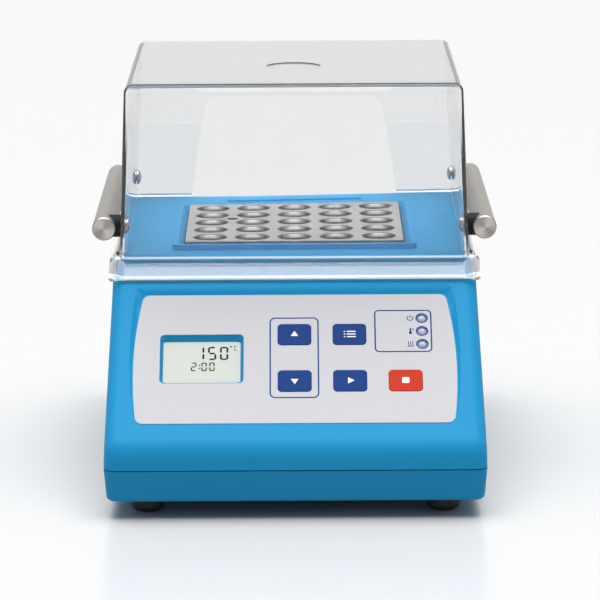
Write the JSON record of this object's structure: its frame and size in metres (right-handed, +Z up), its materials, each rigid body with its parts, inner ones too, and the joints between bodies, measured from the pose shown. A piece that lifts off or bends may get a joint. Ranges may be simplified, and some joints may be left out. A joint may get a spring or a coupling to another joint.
{
  "type": "chemical oxygen demand reactor",
  "caption": "Bench reactor for digestion vials: plastic case with a sloped key panel, an aluminium heating block with round wells, and a clear lift-off shield with a grip bar on each side.",
  "frame": {"origin": "middle of the case's footprint, on the plane that the feet stand on", "axes": "+X to the right as seen from the front, +Y towards the back with the inlet, +Z up"},
  "size_m": [0.2074, 0.3, 0.2055],
  "materials": {
    "case_blue": "moulded, satin",
    "shield_clear": "clear",
    "foot_rubber": "matte",
    "label_film": "satin film",
    "key_blue": "printed film",
    "key_red": "printed film",
    "lcd_glass": "polished",
    "lamp_lens": "diffuse lens",
    "black_plastic": "moulded",
    "block_aluminium": "machined",
    "steel": "brushed",
    "steel_screws": "plated",
    "pin_plate": "plated",
    "board_green": "solder resist",
    "mat_silicone": "matte",
    "clamp_steel": "sheet",
    "insulation": "pressed fibre",
    "carrier_zinc": "zinc coated",
    "transformer": "varnished laminations",
    "sink_aluminium": "black anodised",
    "relay_case": "moulded",
    "terminal_green": "moulded",
    "ribbon_grey": "matte",
    "fuse_glass": "polished",
    "brass_spacer": "plated"
  },
  "bodies": {
    "housing": {"upper_housing": "case_blue", "base_tray": "case_blue", "rubber_feet": "foot_rubber", "case_screws": "steel_screws", "panel_overlay": "label_film", "lcd_glass": "lcd_glass", "lcd_frame": "black_plastic", "status_lamps": "lamp_lens", "display_board": "board_green", "board_screws": "steel_screws", "tact_switches": "black_plastic", "heater_block": "block_aluminium", "heater_mat": "mat_silicone", "clamp_plate": "clamp_steel", "clamp_screws": "steel_screws", "temperature_probe": "steel", "safety_thermostat": "steel", "insulation_jacket": "insulation", "insulation_pad": "insulation", "block_standoffs": "steel", "carrier_plate": "carrier_zinc", "carrier_posts": "brass_spacer", "carrier_screws": "steel_screws", "main_board": "board_green", "board_spacers": "label_film", "power_transformer": "transformer", "heat_sink": "sink_aluminium", "triac": "black_plastic", "relay": "relay_case", "terminal_block": "terminal_green", "ribbon_headers": "black_plastic", "ribbon_cable": "ribbon_grey", "power_inlet": "black_plastic", "inlet_pins": "pin_plate", "inlet_screws": "steel_screws", "switch_frame": "black_plastic"},
    "shield": {"safety_shield": "shield_clear", "handle_bar_left": "steel", "handle_bar_right": "steel", "handle_spacers": "black_plastic", "handle_screws": "steel_screws"},
    "fuse_drawer": {"fuse_drawer": "black_plastic", "fuses": "fuse_glass"},
    "power_rocker": {"power_rocker": "black_plastic"},
    "key_up": {"key_up": "key_blue"},
    "key_down": {"key_down": "key_blue"},
    "key_program": {"key_program": "key_blue"},
    "key_start": {"key_start": "key_blue"},
    "key_stop": {"key_stop": "key_red"}
  },
  "joints": [
    {"name": "shield_lift", "type": "slide", "parent": "housing", "child": "shield", "axis": [0, 0, 1], "range_m": [0, 0.12]},
    {"name": "key_up_press", "type": "slide", "parent": "housing", "child": "key_up", "axis": [0, 0.6455, -0.7638], "range_m": [0, 0.0005], "stiffness_N_per_m": 800, "springref_m": -0.0003},
    {"name": "key_down_press", "type": "slide", "parent": "housing", "child": "key_down", "axis": [0, 0.6455, -0.7638], "range_m": [0, 0.0005], "stiffness_N_per_m": 800, "springref_m": -0.0003},
    {"name": "key_program_press", "type": "slide", "parent": "housing", "child": "key_program", "axis": [0, 0.6455, -0.7638], "range_m": [0, 0.0005], "stiffness_N_per_m": 800, "springref_m": -0.0003},
    {"name": "key_start_press", "type": "slide", "parent": "housing", "child": "key_start", "axis": [0, 0.6455, -0.7638], "range_m": [0, 0.0005], "stiffness_N_per_m": 800, "springref_m": -0.0003},
    {"name": "key_stop_press", "type": "slide", "parent": "housing", "child": "key_stop", "axis": [0, 0.6455, -0.7638], "range_m": [0, 0.0005], "stiffness_N_per_m": 800, "springref_m": -0.0003},
    {"name": "rocker_tilt", "type": "hinge", "parent": "housing", "child": "power_rocker", "pos_m": [0.031, 0.1314, 0.065], "axis": [1, 0, 0], "range_deg": [-20, 0]},
    {"name": "drawer_pull", "type": "slide", "parent": "housing", "child": "fuse_drawer", "axis": [0, 1, 0], "range_m": [0, 0.022]}
  ]
}
